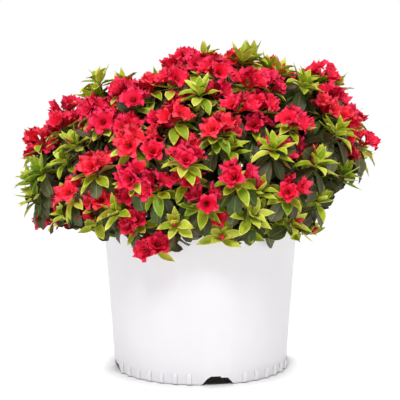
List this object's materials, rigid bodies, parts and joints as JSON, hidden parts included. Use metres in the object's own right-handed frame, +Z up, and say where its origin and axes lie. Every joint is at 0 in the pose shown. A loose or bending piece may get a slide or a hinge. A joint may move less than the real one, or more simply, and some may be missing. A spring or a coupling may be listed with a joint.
{
  "type": "azalea shrub in a nursery pot",
  "caption": "Compact evergreen azalea in full crimson bloom, a rounded dome of leafy shoots over a plain white nursery pot with drain notches round its foot.",
  "frame": {"origin": "middle of the pot's flat underside", "axes": "+Z up along the pot's axis, -Y towards the front of the plant, +X to its right"},
  "size_m": [0.4179, 0.3812, 0.3839],
  "materials": {
    "pot_plastic": "satin white",
    "potting_mix": "rough moist bark mix",
    "bark": "matte grey-brown bark",
    "foliage": "satin leaves"
  },
  "bodies": {
    "root": {"pot": "pot_plastic", "soil": "potting_mix", "stem": "bark", "bough_right": "bark", "foliage_right": "foliage", "bough_back_right": "bark", "foliage_back_right": "foliage", "bough_back": "bark", "foliage_back": "foliage", "bough_back_left": "bark", "foliage_back_left": "foliage", "bough_left": "bark", "foliage_left": "foliage", "bough_front_left": "bark", "foliage_front_left": "foliage", "bough_front": "bark", "foliage_front": "foliage", "bough_front_right": "bark", "foliage_front_right": "foliage", "bough_upper_right": "bark", "foliage_upper_right": "foliage", "bough_upper_back_right": "bark", "foliage_upper_back_right": "foliage", "bough_upper_back_left": "bark", "foliage_upper_back_left": "foliage", "bough_upper_left": "bark", "foliage_upper_left": "foliage", "bough_upper_front": "bark", "foliage_upper_front": "foliage", "bough_top": "bark", "foliage_top": "foliage"}
  },
  "joints": []
}
